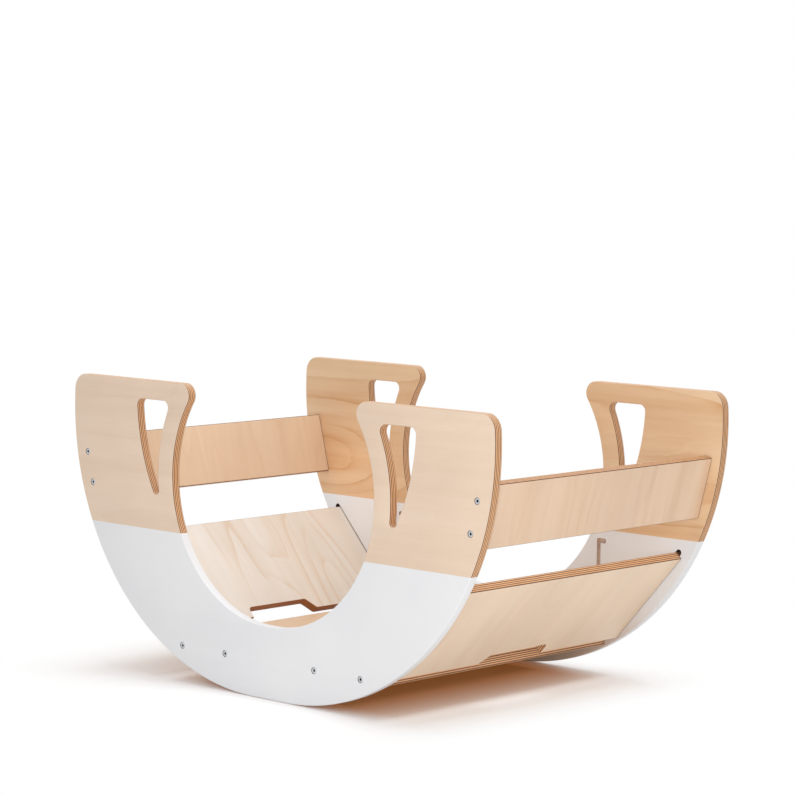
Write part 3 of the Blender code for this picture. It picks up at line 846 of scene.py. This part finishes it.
slope_veneer = dict(Bands=0.3, Ring_Count=10.0, Pores=0.35)
for hand, turn, pale, warm, rings, figure, seed in (
    ("left", math.pi, (0.805, 0.75, 0.69, 1), (0.715, 0.575, 0.45, 1), 1.1, 3.0, (0.35, 0.9, 0.0)),
    ("right", 0, (0.86, 0.68, 0.51, 1), (0.79, 0.56, 0.385, 1), 0.35, 1.5, (1.6, 2.2, 0.0)),
):
    # On its outer face, X runs up the slope and the lower edge lies at zero.
    lie = Matrix.Rotation(turn, 4, "Z") @ Matrix.Translation((SLOPE_FOOT.x, 0, SLOPE_FOOT.y))
    lie @= Matrix.Rotation(-SLOPE, 4, "Y")
    middle = lie @ Matrix.Translation((0, 0, PLY / 2))
    figure_place = (seed[0] + 0.02, seed[1] - 0.15, 0.0)
    veneer = dict(slope_veneer, Pale=pale, Warm=warm, Rings=rings)
    veneer |= dict(Figure=figure_place, Figure_Rings=figure)
    name = f"slope_board_birch_{hand}"
    birch = birch_plywood(name, middle, veneer, edge_plies, seed, joint=BOARD_LENGTH / 2)
    if hand == "left":
        # Painted shade: this board's notched edge is darkened brown low down.
        wire = birch.wire
        low_down = wire.ease(wire.along("Z", birch.where), *NOTCH_SHADE_HEIGHTS, 0.85, 0.0)
        notch_shaded = wire.mix(wire.times(low_down, birch.cut_edge), birch.colour, NOTCH_SHADE_BROWN)
        wire.feed(notch_shaded, birch.shader.inputs["Base Color"])
    board = sheet_cut_to(f"slope_board_{hand}", [slope_outline()], PLY, EASING, middle)
    board.materials.append(birch.material)
    step = PLY - TONGUE
    saws = []
    for end in (-1, 1):
        shoulder = end * (CLEAR_WIDTH / 2 - FIT)
        low, high = sorted((shoulder, shoulder + end * 2 * SAW_PAST))
        saws.append(saw_path((-SAW_PAST, low, -step), (SLOPE_LENGTH + SAW_PAST, high, step), lie))
    board = routed(board, saws, birch.material)
    finished(f"slope_board_{hand}_sheet", board, f"slope_{hand}", [f"slope_board_{hand}"])


# Connector screws. Zinc-plated steel with a flat countersunk head and a hex socket, driven through
# the panels into the rails and the flat board; each head lies flush in its countersink.

SCREW_LENGTH = 0.050
SCREW_SIDES = 36
SCREW_PROFILE = (
    (0.0040, 0.0),
    (0.0046, -0.00015),
    (0.0049, -0.0005),
    (0.0050, -0.0010),
    (0.0035, -0.0030),
    (0.0035, -0.0167),
    (0.0028, -0.0174),
    (0.0028, -0.0460),
    (0.0012, -0.0498),
)
ACROSS_FLATS = 0.004
SOCKET_RADIUS = ACROSS_FLATS / math.sqrt(3)
SOCKET_BEVEL = 0.00025
SOCKET_LIP = 0.0002
SOCKET_DEPTH = 0.0025
SCREW_SHARP_EDGE = math.radians(30)


def on_hexagon(index, size):
    """A point of a hexagon with six points along each side, in step with the round head."""
    corner, part = divmod(index, SCREW_SIDES // 6)
    angles = (math.pi / 3 * corner, math.pi / 3 * (corner + 1))
    first, second = [Vector((math.cos(angle), math.sin(angle))) for angle in angles]
    return first.lerp(second, part / (SCREW_SIDES // 6)) * size


def screw_mesh():
    """One screw, its head's face at the origin and its shank running down."""
    work = bmesh.new()
    rings = turned_wall(work, SCREW_PROFILE, SCREW_SIDES)
    tip = work.verts.new((0, 0, -SCREW_LENGTH))
    around = [(index, (index + 1) % SCREW_SIDES) for index in range(SCREW_SIDES)]
    for here, after in around:
        work.faces.new((rings[-1][here], tip, rings[-1][after]))
    socket = (
        (SOCKET_RADIUS + SOCKET_BEVEL, 0.0),
        (SOCKET_RADIUS, -SOCKET_LIP),
        (SOCKET_RADIUS, -SOCKET_DEPTH),
    )
    lips = []
    for size, height in socket:
        points = [(*on_hexagon(index, size), height) for index in range(SCREW_SIDES)]
        lips.append([work.verts.new(point) for point in points])
    for outer, inner in zip([rings[0], *lips], lips):
        for here, after in around:
            work.faces.new((outer[here], outer[after], inner[after], inner[here]))
    work.faces.new(lips[-1])
    bmesh.ops.recalc_face_normals(work, faces=work.faces)
    middles = [face.calc_center_median() for face in work.faces]
    mesh = bpy.data.meshes.new("connector_screw")
    work.to_mesh(mesh)
    work.free()
    # The socket's walls and floor are marked, so that the tree below can give them painted shade.
    inside = mesh.attributes.new("socket", "BOOLEAN", "FACE")
    for index, middle in enumerate(middles):
        sunk = -SOCKET_DEPTH - 0.0005 < middle.z < -0.0005
        inside.data[index].value = sunk and middle.xy.length < SOCKET_RADIUS
    mesh.shade_smooth()
    mesh.set_sharp_from_angle(angle=SCREW_SHARP_EDGE)
    return mesh


zinc, shader, wire = principled("zinc_plated_steel", Metallic=1.0, IOR=1.45)
where = wire.place()
patch = wire.noise(where, (260, 260, 260), detail=3.0)
patches = wire.mix(wire.ease(patch, 0.3, 0.7), (0.52, 0.545, 0.57, 1), (0.66, 0.68, 0.70, 1))
wire.feed(patches, shader.inputs["Base Color"])
wire.feed(wire.ease(patch, 0.3, 0.7, 0.30, 0.42), shader.inputs["Roughness"])
scratch = wire.noise(where, (3000, 600, 900))
scratched = wire.node("ShaderNodeBump", Strength=0.2, Distance=0.00005, Height=scratch)
wire.feed(scratched.outputs[0], shader.inputs["Normal"])

recess, shader, wire = principled("socket_inside", Metallic=0.6, IOR=1.45, Roughness=0.55)
# The socket's inside is near black: painted shade in the recess.
socket_shade = wire.noise(wire.place(), (900, 900, 900))
socket_shade = wire.mix(socket_shade, (0.010, 0.011, 0.014, 1), (0.035, 0.038, 0.045, 1))
wire.feed(socket_shade, shader.inputs["Base Color"])

screw_tree, wire, given, made = node_group(
    "GeometryNodeTree",
    "screws in their places",
    [
        ("Places", "Geometry"),
        ("Screw", "Object"),
        ("Outward", "Vector"),
        ("Turn Seed", "Int"),
        ("Material", "Material"),
        ("Socket Material", "Material"),
    ],
    [("Geometry", "Geometry")],
)
source = wire.node(
    "GeometryNodeObjectInfo", {"transform_space": "ORIGINAL"}, Object=given["Screw"]
).outputs["Geometry"]
upright = wire.node(
    "FunctionNodeAlignRotationToVector", {"axis": "Z"}, Vector=given["Outward"]
).outputs[0]
# Each screw stops at a turn of its own, up to a sixth, after which a hexagon looks the same.
spin = wire.node(
    "FunctionNodeRandomValue",
    {"data_type": "FLOAT"},
    i2=0.0,
    i3=math.pi / 3,
    Seed=given["Turn Seed"],
).outputs[1]
spin = wire.node("ShaderNodeCombineXYZ", i2=spin).outputs[0]
spin = wire.node("FunctionNodeEulerToRotation", i0=spin).outputs[0]
driven = wire.node(
    "FunctionNodeRotateRotation", {"rotation_space": "LOCAL"}, i0=upright, i1=spin
).outputs[0]
placed = wire.node(
    "GeometryNodeInstanceOnPoints", Points=given["Places"], Instance=source, Rotation=driven
).outputs[0]
real = wire.node("GeometryNodeRealizeInstances", Geometry=placed).outputs[0]
dressed = wire.node("GeometryNodeSetMaterial", Geometry=real, Material=given["Material"]).outputs[0]
marked = wire.node("GeometryNodeInputNamedAttribute", {"data_type": "BOOLEAN"}, Name="socket")
dressed = wire.node(
    "GeometryNodeSetMaterial",
    Geometry=dressed,
    Selection=marked.outputs["Attribute"],
    Material=given["Socket Material"],
).outputs[0]
wire.feed(dressed, made["Geometry"])

pattern_screw = in_scene("pattern_screw", screw_mesh())
for panel_name, side in (("near", -1), ("far", 1)):
    spots = bpy.data.meshes.new("screw_spots")
    spots.from_pydata([tuple(spot.translation) for spot in screw_places(side)], [], [])
    inputs = {
        "Screw": pattern_screw,
        "Outward": (0.0, float(side), 0.0),
        "Turn Seed": 3 + side,
        "Material": zinc,
        "Socket Material": recess,
    }
    piece = in_scene(f"connector_screws_{panel_name}", made_by(screw_tree, spots, inputs))
    replaced = [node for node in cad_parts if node.startswith(f"screw_{panel_name}_")]
    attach(piece, "frame")
    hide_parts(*replaced)
bpy.data.objects.remove(pattern_screw)


# Studio. A white sheet of paper that runs on out of sight, a large soft lamp overhead and a
# smaller one on the viewer's right. The paper keeps the object's shadow, with a painted warm shadow
# and glow added below the object.

PAPER_HALF = 30
PAPER_BELOW = 0.0005
PAPER_WHITE = (0.88, 0.88, 0.88, 1)
PAPER_COOL = (0.87, 0.97, 1.0, 1)
PAPER_PAINTED_WARM_SHADOW = (0.66, 0.46, 0.34, 1)
PAPER_PAINTED_DEEP_SHADOW = (0.29, 0.29, 0.26, 1)
PAPER_PAINTED_WARM_GLOW = (0.14, 0.035, 0.0, 1)
WORLD_LIGHT = 0.68


def seen_by_eye(wire):
    """1 for rays from the camera, or by way of metal or glass, and 0 for rays that bring light."""
    rays = wire.node("ShaderNodeLightPath").outputs
    indirect = wire.math("MAXIMUM", rays["Is Glossy Ray"], rays["Is Transmission Ray"])
    return wire.math("MAXIMUM", rays["Is Camera Ray"], indirect)


def beyond(wire, where, middle, half_x, half_y, steepness=1.0):
    """How far a place lies outside a rectangle; steepness counts the way along Y more."""
    from_middle = wire.math("ABSOLUTE", wire.minus(wire.along("X", where), middle))
    aside = wire.math("MAXIMUM", wire.minus(from_middle, half_x), 0.0)
    from_middle = wire.math("ABSOLUTE", wire.along("Y", where))
    before = wire.times(wire.math("MAXIMUM", wire.minus(from_middle, half_y), 0.0), steepness)
    return wire.math("SQRT", wire.plus(wire.times(aside, aside), wire.times(before, before)))


floor_mesh = bpy.data.meshes.new("floor")
around = ((-1, -1), (1, -1), (1, 1), (-1, 1))
paper_corners = [(x * PAPER_HALF, y * PAPER_HALF, 0) for x, y in around]
floor_mesh.from_pydata(paper_corners, [], [(0, 1, 2, 3)])
floor = in_scene("floor", floor_mesh)
floor.location.z = -PAPER_BELOW

paper, shader, wire = principled("floor_paper", Roughness=0.9, Specular_IOR_Level=0.0)
seen, where = seen_by_eye(wire), wire.place()
# Painted shadow: seen from the camera, the paper below the object is painted warm and dark, darkest
# below the flat board, standing in for shade and light off the birch.
under = beyond(wire, where, middle=0.02, half_x=0.07, half_y=0.21, steepness=3.0)
paper_tone_and_painted_shadow = wire.mix(wire.ease(under, 0.0, 0.18, 1.0, 0.0), PAPER_COOL, PAPER_PAINTED_WARM_SHADOW)
paper_tone_and_painted_shadow = wire.mix(wire.ease(under, 0.0, 0.045, 1.0, 0.0), paper_tone_and_painted_shadow, PAPER_PAINTED_DEEP_SHADOW)
wire.feed(wire.mix(seen, PAPER_WHITE, paper_tone_and_painted_shadow), shader.inputs["Base Color"])
# A faint brown glow that only the camera sees is painted warm light in the paper's shadow.
shader.inputs["Emission Color"].default_value = PAPER_PAINTED_WARM_GLOW
wire.feed(seen, shader.inputs["Emission Strength"])
# Away from the object the paper is seen as plain white.
past_shadow = beyond(wire, where, middle=-0.07, half_x=0.27, half_y=0.26)
whitened = wire.times(wire.ease(past_shadow, 0.0, 0.22), seen)
white = wire.node("ShaderNodeEmission", Color=(1, 1, 1, 1), Strength=1.0).outputs[0]
joined = wire.node("ShaderNodeMixShader", i0=whitened, i1=shader.outputs[0], i2=white)
wire.feed(joined.outputs[0], wire.tree.nodes["Material Output"].inputs["Surface"])
floor_mesh.materials.append(paper)

world = bpy.data.worlds.new("studio")
world.use_nodes = True
bpy.context.scene.world = world
wire = Wiring(world.node_tree)
fill = world.node_tree.nodes["Background"]
fill.inputs["Color"].default_value = (1, 1, 1, 1)
# The room gives a soft light from all round, and is itself seen as white.
strength = wire.times_plus(seen_by_eye(wire), 1 - WORLD_LIGHT, WORLD_LIGHT)
wire.feed(strength, fill.inputs["Strength"])


def soft_lamp(name, location, target, size, watts):
    """A square lamp that faces its target."""
    lamp = bpy.data.lights.new(name, "AREA")
    lamp.shape = "SQUARE"
    lamp.size = size
    lamp.energy = watts
    holder = in_scene(name, lamp)
    holder.location = location
    facing = (Vector(target) - Vector(location)).to_track_quat("-Z", "Y")
    holder.rotation_euler = facing.to_euler()


soft_lamp("overhead", (-0.1, 0.1, 2.6), target=(0, 0, 0.2), size=1.5, watts=25)
soft_lamp("right_side", (2.0, -1.7, 0.7), target=(0, 0, 0.25), size=1.2, watts=19)


# Camera. On the viewer's side of the board, low and a long way off, as the photograph was taken.

AZIMUTH, ELEVATION, ROLL = math.radians(43.56), math.radians(5.30), math.radians(0.53)
CAMERA_PLACE = (3.1317, -3.2852, 0.8704)
LENS_LENGTH = 130.31
SENSOR_WIDTH = 36

outwards = math.cos(ELEVATION)
back = (math.sin(AZIMUTH) * outwards, -math.cos(AZIMUTH) * outwards, math.sin(ELEVATION))
back = Vector(back)
level = Vector((math.cos(AZIMUTH), math.sin(AZIMUTH), 0))
across = math.cos(ROLL) * level + math.sin(ROLL) * back.cross(level)
aim = Matrix((across, back.cross(across), back)).transposed().to_4x4()
aim.translation = CAMERA_PLACE
lens = bpy.data.cameras.new("camera")
lens.lens = LENS_LENGTH
lens.sensor_width = SENSOR_WIDTH
camera = in_scene("camera", lens)
camera.matrix_world = aim
bpy.context.scene.camera = camera
bpy.context.scene.view_settings.view_transform = "Standard"
